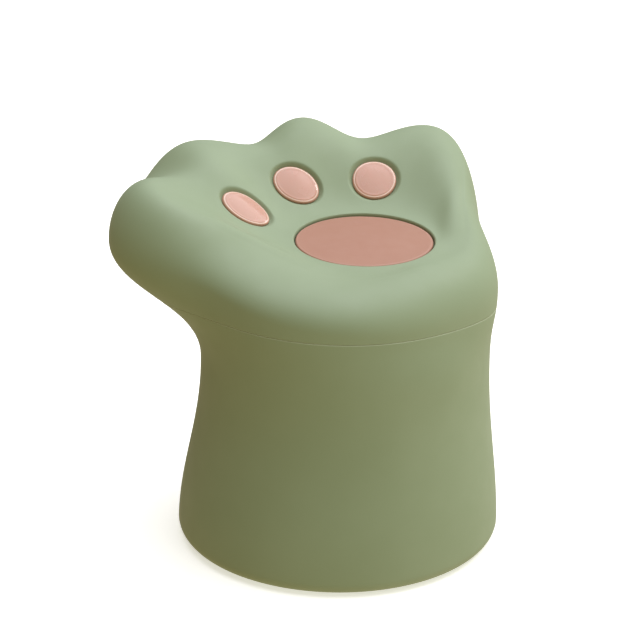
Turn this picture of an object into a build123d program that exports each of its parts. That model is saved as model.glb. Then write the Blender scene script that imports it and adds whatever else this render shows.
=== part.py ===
from build123d import *
import math
import os

# Paw washer cup: a hand-held cup for rinsing a pet's paw, closed by a lift-off lid shaped like a paw.
#
# The outside is one flowing skin, cut by a slightly tilted parting plane into a casing below and a lid above.
# Inside the casing stands a lift-out water cup. A silicone sleeve with rows of bristles hangs in that cup
# under a mouth ring, which also holds a slit splash guard. The lid's liner carries the plug and the seal that
# close the mouth ring, and the four glossy pads of the paw snap into pockets in the lid.
#
# Frame: millimetres, +Z up. The origin is on the axis of the mouth, on the surface that the cup stands on.
# The toes reach towards -X and +Y, and the heel of the paw is towards +X and -Y.

os.makedirs("parts", exist_ok=True)

# --- The skin: foot, neck, belly (the widest line of the head), crest and palm ---
FOOT_Z = 0.5  # the casing's lower edge, above the face of the anti-slip pad
FOOT_R, FOOT_X = 51.6, -1.5  # radius of the foot, and where its centre is along X
FOOT_ROUND = 4.0
NECK_R, NECK_X, NECK_Z = 45.5, 0.5, 60.0
BELLY_R, BELLY_LEAN_X, BELLY_LEAN_Y = 46.0, -2.5, 0.5
BELLY_Z, BELLY_RISE_X, BELLY_RISE_Y = 92.0, -7.0, 9.0
CREST_IN = 14.0  # from the belly in to the crest
# On the right the crest lies further out, and at the front left further in: direction, way out,
# half width.
CREST_EASES = [(33.0, 7.0, 45.0), (-120.0, -5.0, 50.0)]
CREST_Z, CREST_RISE_X, CREST_RISE_Y = 104.5, -1.0, 10.5
# The four toes, the heel, the cleft between the first two toes, the full lip at the front left and the
# shoulder of the last toe: direction in degrees, reach, lift of the crest, drop of the belly, half width.
TOES = [
    (181.0, 24.0, 9.0, 1.5, 23.0),
    (148.0, 18.5, 7.5, 0.0, 15.0),
    (109.0, 11.0, 9.5, 0.0, 20.0),
    (57.0, 15.0, 9.0, 1.5, 21.0),
    (-12.0, 4.5, -3.5, 1.0, 25.0),
    (164.0, 3.0, -3.0, 0.0, 9.0),
    (-130.0, 0.0, 0.5, 2.5, 40.0),
    (35.0, 3.0, 0.0, 0.0, 15.0),
]
# Where the crest isn't level but rises outwards (the first toe) or falls (the cleft): direction, slope,
# half width.
CREST_SLOPES = [(181.0, 0.3, 20.0), (163.0, -0.55, 10.0)]
PALM_X, PALM_Y, PALM_Z = 6.0, -4.6, 98.6  # centre of the main pad
PALM_LONG, PALM_WIDE, PALM_TURN = 22.1, 16.4, -2.0  # half lengths of the flat palm, and its turn
PALM_SLOPE = 0.2  # rise of the palm towards +Y
RING_POINTS = 60  # points around each ring of the skin
BANDS = (8, 6, 5, 6)  # rings from foot to neck, neck to belly, belly to crest and crest to palm

# --- Walls, parting plane and clearances ---
SEAM_Z, SEAM_TILT, SEAM_GAP = 79.4, 0.025, 0.2
CASING_WALL, LID_WALL = 2.2, 3.8
FIT_GAP = 0.2  # between pieces that are assembled once

# --- Base ---
PAD_R, PAD_THICK = 38.0, 2.0
FLOOR_TOP = 3.0
OPENING_R, STEP_R, STEP_Z = 41.5, 43.2, 2.0  # stepped hole in the casing's floor
HOOKS, HOOK_R, HOOK_WIDE, HOOK_THICK, HOOK_TOP = 4, 40.9, 10.0, 1.6, 5.8
CATCH_Z, CATCH_OUT = 3.1, 1.3

# --- Water cup, and the ledge of the casing that it hangs on ---
LEDGE_Z, LEDGE_THICK, LEDGE_R = 66.0, 2.5, 40.0
GASKET_IN_R, GASKET_OUT_R, GASKET_THICK = 40.2, 42.4, 1.0
CUP_RIM_Z, CUP_RIM_R, CUP_RIM_THICK = 67.0, 41.8, 2.0
CUP_TOP_R, CUP_FOOT_R, CUP_FOOT_Z, CUP_WALL = 39.3, 37.5, 6.0, 1.8
CUP_FOOT_ROUND = 3.0

# --- Brush cartridge: sleeve, mouth ring and splash guard ---
SLEEVE_R, SLEEVE_WALL, SLEEVE_FOOT_Z = 35.4, 1.6, 10.0
SLEEVE_RIM_Z, SLEEVE_RIM_R, SLEEVE_RIM_THICK = 69.0, 41.0, 1.5
BRISTLE_ROWS, BRISTLE_ROW_Z, BRISTLE_PITCH, BRISTLES_A_ROW = 8, 14.0, 6.0, 22
BRISTLE_ROOT_R, BRISTLE_TIP_R, BRISTLE_LONG, BRISTLE_BURIED = 1.3, 0.6, 13.0, 0.6
MOUTH_R, MOUTH_RIM_R, MOUTH_RIM_Z, MOUTH_TOP_Z = 32.0, 41.6, 70.5, 73.0
SKIRT_R, SKIRT_FOOT_Z, SKIRT_LIP_R, SKIRT_LIP_Z = 33.6, 61.5, 29.0, 63.0
MOUTH_ROUND = 0.8
GRIP_R, GRIP_WIDE, GRIP_TALL, GRIP_THICK, GRIP_ROUND = 37.0, 14.0, 4.5, 2.0, 2.0
GUARD_R, GUARD_THICK, GUARD_HOLE_R, GUARD_SLITS = 31.8, 1.2, 12.0, 8
SLIT_END_R, SLIT_WIDE = 27.0, 0.8
KEEPER_IN_R, KEEPER_OUT_R, KEEPER_THICK = 29.6, 31.9, 2.0

# --- Lid liner with its lip, plug and seal ---
LINER_THICK, LINER_GAP = 2.2, 0.3
LIP_DEEP, LIP_GAP, LIP_THICK = 3.0, 0.5, 2.6
PLUG_R, PLUG_WALL, PLUG_FOOT_Z, PLUG_FLOOR = 31.5, 2.6, 68.4, 1.8
GROOVE_Z, GROOVE_TALL, GROOVE_DEEP = 69.8, 2.4, 1.2
SEAL_R, SEAL_GAP, SEAL_ROUND = 31.8, 0.05, 0.5
POST_R, POST_FOOT_Z = 3.2, 69.0
SCREW_SPAN_X, SCREW_SPAN_Y = 26.0, 10.0  # between the four screws, in the floor of the main pad's pocket
SHANK_R, HOLE_R, SCREW_LONG, HEAD_R, HEAD_ANGLE = 1.2, 1.5, 11.0, 2.6, 90.0
PILOT_R, PILOT_LONG, CROSS_LONG, CROSS_WIDE, CROSS_DEEP = 1.25, 12.0, 2.8, 0.6, 0.8

# --- Pads and their pockets ---
POCKET_GAP = 0.35  # around each pad
ABOVE = 10.0  # how far a pocket's cutter stands out of the skin
PEG_R, PEG_GAP, PEG_LONG = 1.5, 0.05, 2.4
# Each toe pad: direction and station on the skin, half length, half width and turn.
TOE_PADS = {
    "toe_pad_left": (168.0, 3.605, 8.2, 5.0, -101.0),
    "toe_pad_middle": (129.0, 3.55, 7.8, 6.0, -55.0),
    "toe_pad_right": (79.5, 3.55, 7.0, 7.0, 0.0),
}
TOE_POCKET, TOE_PAD_THICK, TOE_PAD_ROUND = 2.3, 2.5, 1.2
PALM_POCKET, PALM_PAD_THICK, PALM_PAD_ROUND, PALM_PEG_X = 2.2, 2.0, 0.9, 6.0
PALM_PAD_LONG, PALM_PAD_WIDE = 21.2, 15.7


# --- The skin as a formula ---
def along(start, leave, arrive, end, t):
    """A point of the cubic Bezier curve with these four control points."""
    return start * (1 - t) ** 3 + leave * 3 * t * (1 - t) ** 2 + arrive * 3 * t * t * (1 - t) + end * t**3


def bump(angle, direction, half_width):
    """A smooth bump around the head: 1 in a toe's own direction, falling off on both sides."""
    off = (angle - direction + 180) % 360 - 180
    return math.exp(-((off / half_width) ** 2))


def skin_rings(angle):
    """The five points that shape the skin in one direction: foot, neck, belly, crest and palm."""
    c, s = math.cos(math.radians(angle)), math.sin(math.radians(angle))
    reach = BELLY_R + BELLY_LEAN_X * c + BELLY_LEAN_Y * s
    belly_z = BELLY_Z + BELLY_RISE_X * c + BELLY_RISE_Y * s
    crest_z = CREST_Z + CREST_RISE_X * c + CREST_RISE_Y * s
    for direction, out, lift, drop, half_width in TOES:
        share = bump(angle, direction, half_width)
        reach += out * share
        crest_z += lift * share
        belly_z -= drop * share
    crest_in = CREST_IN - sum(out * bump(angle, towards, half) for towards, out, half in CREST_EASES)
    across = Vector(PALM_LONG * c, PALM_WIDE * s, 0).rotate(Axis.Z, PALM_TURN)
    foot = Vector(FOOT_X + FOOT_R * c, FOOT_R * s, FOOT_Z)
    neck = Vector(NECK_X + NECK_R * c, NECK_R * s, NECK_Z)
    belly = Vector(reach * c, reach * s, belly_z)
    crest = Vector((reach - crest_in) * c, (reach - crest_in) * s, crest_z)
    palm = Vector(PALM_X + across.X, PALM_Y + across.Y, PALM_Z + PALM_SLOPE * across.Y)
    return foot, neck, belly, crest, palm


def crest_slope(angle):
    """How much the crest rises for each millimetre outwards."""
    return sum(slope * bump(angle, direction, half_width) for direction, slope, half_width in CREST_SLOPES)


def level(start, end, slope):
    """The way from start to end in plan, rising by the slope instead of by their heights."""
    run = Vector(end.X - start.X, end.Y - start.Y, 0)
    return run + Vector(0, 0, slope * run.length)


def skin_point(angle, station):
    """A point of the skin. Station 0 is the foot, 1 the neck, 2 the belly, 3 the crest and 4 the palm."""
    foot, neck, belly, crest, palm = skin_rings(angle)
    band = min(int(station), 3)
    t = station - band
    if band == 0:
        tall = Vector(0, 0, neck.Z - foot.Z)
        return along(foot, foot + tall * 0.35, neck - tall * 0.4, neck, t)
    if band == 1:
        tall = Vector(0, 0, belly.Z - neck.Z)
        return along(neck, neck + tall * 0.54, belly - tall * 0.38, belly, t)
    if band == 2:
        tall = Vector(0, 0, crest.Z - belly.Z)
        inward = level(belly, crest, -crest_slope(angle))
        return along(belly, belly + tall * 0.55, crest - inward * 0.55, crest, t)
    leave = level(crest, palm, -crest_slope(angle))
    arrive = Vector(leave.X, leave.Y, PALM_SLOPE * leave.Y)
    return along(crest, crest + leave * 0.45, palm - arrive * 0.35, palm, t)


def skin_normal(angle, station):
    """The skin's outward direction, square to the two ways in which it runs."""
    if station == 0:
        return Vector(1, 0, 0).rotate(Axis.Z, angle)
    if station == 4:
        return Vector(0, -PALM_SLOPE, 1).normalized()
    near = 0.01
    up = skin_point(angle, station + near) - skin_point(angle, station - near)
    around = skin_point(angle + near, station) - skin_point(angle - near, station)
    return around.cross(up).normalized()


def skin_ring(station, inset):
    """A closed wire around the skin, moved inwards by the inset."""
    angles = [360 * i / RING_POINTS for i in range(RING_POINTS)]
    points = [skin_point(a, station) - skin_normal(a, station) * inset for a in angles]
    return Wire([Edge.make_spline(points, periodic=True)])


def skin_solid(inset):
    """The space inside the skin, moved inwards by the inset, closed flat at the foot and at the palm."""
    stations = [band + k / rings for band, rings in enumerate(BANDS) for k in range(rings)]
    return Solid.make_loft([skin_ring(station, inset) for station in stations + [4]])


def upright(angle):
    """A plane through the axis of the mouth: its x runs outwards in this direction and its y is up."""
    c, s = math.cos(math.radians(angle)), math.sin(math.radians(angle))
    return Plane(origin=(0, 0, 0), x_dir=(c, s, 0), z_dir=(s, -c, 0))


def toe_pad_plane(name):
    """The plane of a toe pad, touching the skin, with its x along the pad's length."""
    direction, station, _, _, turn = TOE_PADS[name]
    near = 0.5
    around = skin_point(direction + near, station) - skin_point(direction - near, station)
    outward = skin_normal(direction, station)
    side = outward.cross(around)
    length = around * math.cos(math.radians(turn)) + side * math.sin(math.radians(turn))
    return Plane(skin_point(direction, station), x_dir=length, z_dir=outward)


seam = Plane(origin=(0, 0, SEAM_Z), x_dir=(1, 0, -SEAM_TILT), z_dir=(SEAM_TILT, 0, 1))
palm_turned = Vector(1, 0, 0).rotate(Axis.Z, PALM_TURN)
palm_along = palm_turned + Vector(0, 0, PALM_SLOPE * palm_turned.Y)
palm_plane = Plane((PALM_X, PALM_Y, PALM_Z), x_dir=palm_along, z_dir=(0, -PALM_SLOPE, 1))
pad_planes = {name: toe_pad_plane(name) for name in TOE_PADS}
palm_floor = palm_plane.offset(-PALM_POCKET)

# --- Anti-slip pad: a silicone disc glued into the base plate. Its face is what the cup stands on ---
with BuildPart() as anti_slip_pad:
    with BuildSketch():
        Circle(PAD_R)
    extrude(amount=PAD_THICK)
    fillet(anti_slip_pad.edges().group_by(Axis.Z)[0], 0.3)
anti_slip_pad.part.label = "anti_slip_pad"
export_step(anti_slip_pad.part, "parts/anti_slip_pad.step")

# --- Base plate: closes the casing from below, and is held by four hooks that snap over its floor ---
with BuildPart() as base_plate:
    with BuildSketch(Plane.XY.offset(FOOT_Z)):
        Circle(STEP_R - FIT_GAP)
    extrude(amount=STEP_Z - FOOT_Z)
    with BuildSketch(Plane.XY.offset(STEP_Z)):
        Circle(OPENING_R - FIT_GAP)
    extrude(amount=FLOOR_TOP - STEP_Z)
    with BuildSketch(Plane.XY.offset(FOOT_Z)):
        Circle(PAD_R + FIT_GAP)
    extrude(amount=PAD_THICK - FOOT_Z, mode=Mode.SUBTRACT)
    for hook in range(HOOKS):
        with BuildSketch(upright(45 + 360 * hook / HOOKS)):
            with BuildLine():
                Polyline(
                    (HOOK_R - HOOK_THICK, FLOOR_TOP),
                    (HOOK_R, FLOOR_TOP),
                    (HOOK_R, CATCH_Z),
                    (HOOK_R + CATCH_OUT, CATCH_Z),
                    (HOOK_R, HOOK_TOP),
                    (HOOK_R - HOOK_THICK, HOOK_TOP),
                    close=True,
                )
            make_face()
        extrude(amount=HOOK_WIDE / 2, both=True)
base_plate.part.label = "base_plate"
export_step(base_plate.part, "parts/base_plate.step")

# --- Casing: the skin below the parting plane, hollow, with a stepped opening below and the cup's ledge ---
with BuildPart() as casing_room:
    add(skin_solid(CASING_WALL))
    split(bisect_by=Plane.XY.offset(FLOOR_TOP), keep=Keep.TOP)
    with BuildSketch(Plane.XY.offset(LEDGE_Z - LEDGE_THICK)):
        Circle(FOOT_R)
        Circle(LEDGE_R, mode=Mode.SUBTRACT)
    extrude(amount=LEDGE_THICK, mode=Mode.SUBTRACT)
with BuildPart() as casing:
    add(skin_solid(0))
    split(bisect_by=seam, keep=Keep.BOTTOM)
    fillet(casing.edges().group_by(Axis.Z)[0], FOOT_ROUND)
    add(casing_room.part, mode=Mode.SUBTRACT)
    with BuildSketch(Plane.XY.offset(FOOT_Z)):
        Circle(OPENING_R)
    extrude(amount=FLOOR_TOP - FOOT_Z, mode=Mode.SUBTRACT)
    with BuildSketch(Plane.XY.offset(FOOT_Z)):
        Circle(STEP_R)
    extrude(amount=STEP_Z - FOOT_Z, mode=Mode.SUBTRACT)
casing.part.label = "casing"
export_step(casing.part, "parts/casing.step")

# --- Cup gasket: a flat silicone ring on the ledge ---
with BuildPart() as cup_gasket:
    with BuildSketch(Plane.XY.offset(LEDGE_Z)):
        Circle(GASKET_OUT_R)
        Circle(GASKET_IN_R, mode=Mode.SUBTRACT)
    extrude(amount=GASKET_THICK)
cup_gasket.part.label = "cup_gasket"
export_step(cup_gasket.part, "parts/cup_gasket.step")

# --- Water cup: a thin tapered cup that hangs by its rim and lifts out to be emptied ---
with BuildPart() as water_cup:
    with BuildSketch(Plane.XZ):
        with BuildLine():
            Polyline(
                (0, CUP_FOOT_Z),
                (CUP_FOOT_R, CUP_FOOT_Z),
                (CUP_TOP_R, CUP_RIM_Z),
                (CUP_RIM_R, CUP_RIM_Z),
                (CUP_RIM_R, CUP_RIM_Z + CUP_RIM_THICK),
                (CUP_TOP_R - CUP_WALL, CUP_RIM_Z + CUP_RIM_THICK),
                (CUP_FOOT_R - CUP_WALL, CUP_FOOT_Z + CUP_WALL),
                (0, CUP_FOOT_Z + CUP_WALL),
                close=True,
            )
        make_face()
    revolve(axis=Axis.Z)
    fillet(water_cup.edges().group_by(Axis.Z)[0], CUP_FOOT_ROUND)
water_cup.part.label = "water_cup"
export_step(water_cup.part, "parts/water_cup.step")

# --- Bristle sleeve: a silicone tube with a rim and staggered rows of bristles that point at the axis ---
with BuildPart() as bristle_sleeve:
    with BuildSketch(Plane.XY.offset(SLEEVE_FOOT_Z)):
        Circle(SLEEVE_R)
    extrude(amount=SLEEVE_RIM_Z - SLEEVE_FOOT_Z)
    with BuildSketch(Plane.XY.offset(SLEEVE_RIM_Z)):
        Circle(SLEEVE_RIM_R)
    extrude(amount=SLEEVE_RIM_THICK)
    with BuildSketch(Plane.XY.offset(SLEEVE_FOOT_Z)):
        Circle(SLEEVE_R - SLEEVE_WALL)
    extrude(amount=MOUTH_RIM_Z - SLEEVE_FOOT_Z, mode=Mode.SUBTRACT)
    root_r = SLEEVE_R - SLEEVE_WALL + BRISTLE_BURIED
    roots = []
    for row in range(BRISTLE_ROWS):
        for place in range(BRISTLES_A_ROW):
            wall = upright(360 * (place + row % 2 / 2) / BRISTLES_A_ROW)
            spot = wall.from_local_coords((root_r, BRISTLE_ROW_Z + BRISTLE_PITCH * row, 0))
            roots.append(Plane(spot, x_dir=(0, 0, 1), z_dir=-wall.x_dir))
    with Locations(*roots):
        Cone(
            BRISTLE_ROOT_R,
            BRISTLE_TIP_R,
            BRISTLE_LONG + BRISTLE_BURIED,
            align=(Align.CENTER, Align.CENTER, Align.MIN),
        )
bristle_sleeve.part.label = "bristle_sleeve"
export_step(bristle_sleeve.part, "parts/bristle_sleeve.step")

# --- Mouth ring: holds the sleeve's rim down, carries the splash guard, and has two finger grips ---
with BuildPart() as mouth_ring:
    with BuildSketch(Plane.XZ):
        with BuildLine():
            Polyline(
                (SKIRT_LIP_R, SKIRT_FOOT_Z),
                (SKIRT_R, SKIRT_FOOT_Z),
                (SKIRT_R, MOUTH_RIM_Z),
                (MOUTH_RIM_R, MOUTH_RIM_Z),
                (MOUTH_RIM_R, MOUTH_TOP_Z),
                (MOUTH_R, MOUTH_TOP_Z),
                (MOUTH_R, SKIRT_LIP_Z),
                (SKIRT_LIP_R, SKIRT_LIP_Z),
                close=True,
            )
        make_face()
    revolve(axis=Axis.Z)
    fillet(mouth_ring.edges().group_by(Axis.Z)[-1], MOUTH_ROUND)
    for side in (-1, 1):
        with BuildSketch(Plane.YZ.offset(side * GRIP_R)):
            with Locations((0, MOUTH_TOP_Z + GRIP_TALL / 2)):
                grip = Rectangle(GRIP_WIDE, GRIP_TALL)
            fillet(grip.vertices().group_by(Axis.Z)[-1], GRIP_ROUND)
        extrude(amount=GRIP_THICK / 2, both=True)
mouth_ring.part.label = "mouth_ring"
export_step(mouth_ring.part, "parts/mouth_ring.step")

# --- Splash guard: a silicone disc cut into petals around a hole ---
with BuildPart() as splash_guard:
    with BuildSketch(Plane.XY.offset(SKIRT_LIP_Z)):
        Circle(GUARD_R)
        Circle(GUARD_HOLE_R, mode=Mode.SUBTRACT)
        with PolarLocations((GUARD_HOLE_R + SLIT_END_R) / 2, GUARD_SLITS):
            Rectangle(SLIT_END_R - GUARD_HOLE_R + SLIT_WIDE, SLIT_WIDE, mode=Mode.SUBTRACT)
    extrude(amount=GUARD_THICK)
splash_guard.part.label = "splash_guard"
export_step(splash_guard.part, "parts/splash_guard.step")

# --- Guard keeper: the ring that is pressed into the skirt on top of the splash guard ---
with BuildPart() as guard_keeper:
    with BuildSketch(Plane.XY.offset(SKIRT_LIP_Z + GUARD_THICK)):
        Circle(KEEPER_OUT_R)
        Circle(KEEPER_IN_R, mode=Mode.SUBTRACT)
    extrude(amount=KEEPER_THICK)
guard_keeper.part.label = "guard_keeper"
export_step(guard_keeper.part, "parts/guard_keeper.step")

# --- Lid shell: the skin above the parting plane, hollow, with a pocket for each pad ---
with BuildPart() as lid_shell:
    add(skin_solid(0))
    split(bisect_by=seam.offset(SEAM_GAP), keep=Keep.TOP)
    add(skin_solid(LID_WALL), mode=Mode.SUBTRACT)
    for name, plane in pad_planes.items():
        with BuildSketch(plane.offset(-TOE_POCKET)):
            Ellipse(TOE_PADS[name][2] + POCKET_GAP, TOE_PADS[name][3] + POCKET_GAP)
        extrude(amount=ABOVE, mode=Mode.SUBTRACT)
        with BuildSketch(plane.offset(-TOE_POCKET)):
            Circle(PEG_R + PEG_GAP)
        extrude(amount=-LID_WALL, mode=Mode.SUBTRACT)
    with BuildSketch(palm_floor):
        Ellipse(PALM_PAD_LONG + POCKET_GAP, PALM_PAD_WIDE + POCKET_GAP)
    extrude(amount=ABOVE, mode=Mode.SUBTRACT)
    with BuildSketch(palm_floor):
        with Locations((-PALM_PEG_X, 0), (PALM_PEG_X, 0)):
            Circle(PEG_R + PEG_GAP)
    extrude(amount=-LID_WALL, mode=Mode.SUBTRACT)
    with Locations(palm_floor):
        with GridLocations(SCREW_SPAN_X, SCREW_SPAN_Y, 2, 2):
            CounterSinkHole(HOLE_R, HEAD_R + PEG_GAP, depth=LID_WALL, counter_sink_angle=HEAD_ANGLE)
lid_shell.part.label = "lid_shell"
export_step(lid_shell.part, "parts/lid_shell.step")

# --- Pads: four glossy inserts, each held by pegs that are pressed through the floor of its pocket ---
with BuildPart() as main_pad:
    with BuildSketch(palm_floor):
        Ellipse(PALM_PAD_LONG, PALM_PAD_WIDE)
    extrude(amount=PALM_PAD_THICK)
    pad_top = main_pad.faces().sort_by(Axis((0, 0, 0), palm_plane.z_dir))[-1]
    fillet(pad_top.edges(), PALM_PAD_ROUND)
    with BuildSketch(palm_floor):
        with Locations((-PALM_PEG_X, 0), (PALM_PEG_X, 0)):
            Circle(PEG_R)
    extrude(amount=-PEG_LONG)
main_pad.part.label = "main_pad"
export_step(main_pad.part, "parts/main_pad.step")

for name, plane in pad_planes.items():
    with BuildPart() as toe_pad:
        with BuildSketch(plane.offset(-TOE_POCKET)):
            Ellipse(TOE_PADS[name][2], TOE_PADS[name][3])
        extrude(amount=TOE_PAD_THICK)
        pad_top = toe_pad.faces().sort_by(Axis((0, 0, 0), plane.z_dir))[-1]
        fillet(pad_top.edges(), TOE_PAD_ROUND)
        with BuildSketch(plane.offset(-TOE_POCKET)):
            Circle(PEG_R)
        extrude(amount=-PEG_LONG)
    toe_pad.part.label = name
    export_step(toe_pad.part, f"parts/{name}.step")

# --- Lid liner: a plate across the lid's opening, a lip that drops into the casing, and the hollow plug ---
# Four posts stand on the plug's floor, square to the palm. The screws that clamp the liner to the lid go into
# them.
with BuildPart() as liner_posts:
    with BuildSketch(palm_floor.offset(PALM_POCKET - LID_WALL)):
        with GridLocations(SCREW_SPAN_X, SCREW_SPAN_Y, 2, 2):
            Circle(POST_R)
    extrude(amount=-CREST_Z / 2)
    split(bisect_by=Plane.XY.offset(POST_FOOT_Z), keep=Keep.TOP)
with BuildPart() as pilot_holes:
    with BuildSketch(palm_floor.offset(PALM_POCKET - LID_WALL)):
        with GridLocations(SCREW_SPAN_X, SCREW_SPAN_Y, 2, 2):
            Circle(PILOT_R)
    extrude(amount=-PILOT_LONG)
plate_outline = section(skin_solid(LID_WALL + LINER_GAP), section_by=seam.offset(SEAM_GAP)).faces()[0]
lip_inset = CASING_WALL + LIP_GAP
lip_outline = section(skin_solid(lip_inset), section_by=seam.offset(-LIP_DEEP)).faces()[0]
lip_inside = section(skin_solid(lip_inset + LIP_THICK), section_by=seam.offset(-LIP_DEEP)).faces()[0]
with BuildPart() as lid_liner:
    extrude(lip_outline, amount=LIP_DEEP + SEAM_GAP, dir=seam.z_dir)
    extrude(lip_inside, amount=LIP_DEEP + SEAM_GAP, dir=seam.z_dir, mode=Mode.SUBTRACT)
    extrude(plate_outline, amount=LINER_THICK, dir=seam.z_dir)
    with BuildSketch(Plane.XY.offset(PLUG_FOOT_Z)):
        Circle(PLUG_R)
    extrude(amount=SEAM_Z + SEAM_GAP + LINER_THICK / 2 - PLUG_FOOT_Z)
    with BuildSketch(Plane.XY.offset(PLUG_FOOT_Z + PLUG_FLOOR)):
        Circle(PLUG_R - PLUG_WALL)
    extrude(amount=CREST_Z - PLUG_FOOT_Z, mode=Mode.SUBTRACT)
    with BuildSketch(Plane.XY.offset(GROOVE_Z)):
        Circle(PLUG_R)
        Circle(PLUG_R - GROOVE_DEEP, mode=Mode.SUBTRACT)
    extrude(amount=GROOVE_TALL, mode=Mode.SUBTRACT)
    add(liner_posts.part)
    add(pilot_holes.part, mode=Mode.SUBTRACT)
lid_liner.part.label = "lid_liner"
export_step(lid_liner.part, "parts/lid_liner.step")

# --- Lid seal: the silicone ring in the plug's groove ---
with BuildPart() as lid_seal:
    with BuildSketch(Plane.XY.offset(GROOVE_Z + SEAL_GAP)):
        Circle(SEAL_R)
        Circle(PLUG_R - GROOVE_DEEP + SEAL_GAP, mode=Mode.SUBTRACT)
    extrude(amount=GROOVE_TALL - 2 * SEAL_GAP)
    fillet(lid_seal.faces().sort_by(SortBy.AREA)[-1].edges().filter_by(GeomType.CIRCLE), SEAL_ROUND)
lid_seal.part.label = "lid_seal"
export_step(lid_seal.part, "parts/lid_seal.step")

# --- Liner screws: four countersunk screws with a cross recess, hidden under the main pad ---
with BuildPart() as liner_screws:
    with BuildSketch(palm_floor):
        with GridLocations(SCREW_SPAN_X, SCREW_SPAN_Y, 2, 2):
            Circle(SHANK_R)
    extrude(amount=-SCREW_LONG)
    with BuildSketch(palm_floor):
        with GridLocations(SCREW_SPAN_X, SCREW_SPAN_Y, 2, 2):
            Circle(HEAD_R)
    extrude(amount=-(HEAD_R - SHANK_R), taper=HEAD_ANGLE / 2)
    with BuildSketch(palm_floor):
        with GridLocations(SCREW_SPAN_X, SCREW_SPAN_Y, 2, 2):
            Rectangle(CROSS_LONG, CROSS_WIDE)
            Rectangle(CROSS_WIDE, CROSS_LONG)
    extrude(amount=-CROSS_DEEP, mode=Mode.SUBTRACT)
liner_screws.part.label = "liner_screws"
export_step(liner_screws.part, "parts/liner_screws.step")
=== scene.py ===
"""Looks of the paw washer cup: its skin, pads, brush cartridge and lid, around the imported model.

The shape of the skin is one formula of two parameters, the direction around the axis and a station along
the profile, and every new piece is worked out from it or from a profile that is carried around the axis.
Lengths are in millimetres until a mesh is made, and in metres in the mesh.
"""

import logging
import math
from dataclasses import dataclass, field
from enum import Enum
from typing import Sequence

import bpy
import numpy as np
from mathutils import Matrix, Vector


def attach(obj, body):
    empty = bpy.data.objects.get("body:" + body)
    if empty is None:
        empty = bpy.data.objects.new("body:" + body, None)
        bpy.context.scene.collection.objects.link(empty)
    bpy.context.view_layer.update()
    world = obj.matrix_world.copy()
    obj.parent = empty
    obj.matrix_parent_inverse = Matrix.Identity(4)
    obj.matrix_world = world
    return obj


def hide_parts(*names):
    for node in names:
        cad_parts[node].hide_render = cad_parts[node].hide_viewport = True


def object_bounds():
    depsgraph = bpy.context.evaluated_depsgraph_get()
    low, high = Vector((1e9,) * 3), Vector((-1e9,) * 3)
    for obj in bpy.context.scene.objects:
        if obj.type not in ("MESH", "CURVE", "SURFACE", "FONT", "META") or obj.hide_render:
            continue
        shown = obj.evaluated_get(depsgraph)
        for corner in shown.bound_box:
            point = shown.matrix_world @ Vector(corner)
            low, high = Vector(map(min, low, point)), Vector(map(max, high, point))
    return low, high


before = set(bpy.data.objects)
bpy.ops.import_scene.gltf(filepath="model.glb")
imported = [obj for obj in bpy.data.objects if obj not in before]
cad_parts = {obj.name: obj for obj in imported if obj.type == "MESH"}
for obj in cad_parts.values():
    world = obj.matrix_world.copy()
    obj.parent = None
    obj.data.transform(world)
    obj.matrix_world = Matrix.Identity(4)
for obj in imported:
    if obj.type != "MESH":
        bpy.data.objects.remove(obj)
CAD_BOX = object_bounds()

LOG = logging.getLogger("paw_washer")
MM = 0.001
TINY = 1e-9
TURN = 2 * math.pi
UP = np.array([0.0, 0.0, 1.0])
LEVEL = np.array([1.0, 1.0, 0.0])
SHARP_ANGLE = 40.0  # degrees between faces that shade apart
RIM_HIGHLIGHT = "edge"  # how near a rim is: the mask of the painted highlight along rims
HALVINGS = 26  # of the stations, to find where a wall crosses a plane
BELLY, CREST, PALM = 2.0, 3.0, 4.0  # stations of the skin, as its class numbers them


# --- Helpers on arrays ---
def smoothstep(low: float, high: float, value: np.ndarray) -> np.ndarray:
    """0 up to low, 1 from high, and 3 t^2 - 2 t^3 between them.

    Args:
        low: where the step starts.
        high: where the step ends.
        value: the values to map.

    Returns:
        The mapped values.
    """
    t = np.clip((value - low) / (high - low), 0.0, 1.0)
    return t * t * (3 - 2 * t)


def unit(vectors: np.ndarray) -> np.ndarray:
    """The vectors along the last axis, scaled to length 1."""
    return vectors / np.linalg.norm(vectors, axis=-1, keepdims=True)


def bezier(points: Sequence[np.ndarray], t: np.ndarray) -> np.ndarray:
    """Cubic Bezier curves: a (1-t)^3 + 3 b t (1-t)^2 + 3 c t^2 (1-t) + d t^3.

    Args:
        points: the four control points, each an array that ends in an axis of 3.
        t: the share of the way along, with a last axis of 1.

    Returns:
        The points of the curves.
    """
    a, b, c, d = points
    return a * (1 - t) ** 3 + 3 * b * t * (1 - t) ** 2 + 3 * c * t**2 * (1 - t) + d * t**3


def ring(
    radius: np.ndarray | float, height: np.ndarray | float, angle: np.ndarray, x: float = 0.0
) -> np.ndarray:
    """Points around a vertical axis: (x + r cos a, r sin a, z).

    Args:
        radius: r, in millimetres.
        height: z, in millimetres.
        angle: a, in radians.
        x: where the axis is along X.

    Returns:
        An array of shape (n, 3).
    """
    flat = np.ones_like(angle)
    return np.stack([x + radius * np.cos(angle), radius * np.sin(angle), height * flat], axis=-1)


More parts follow.
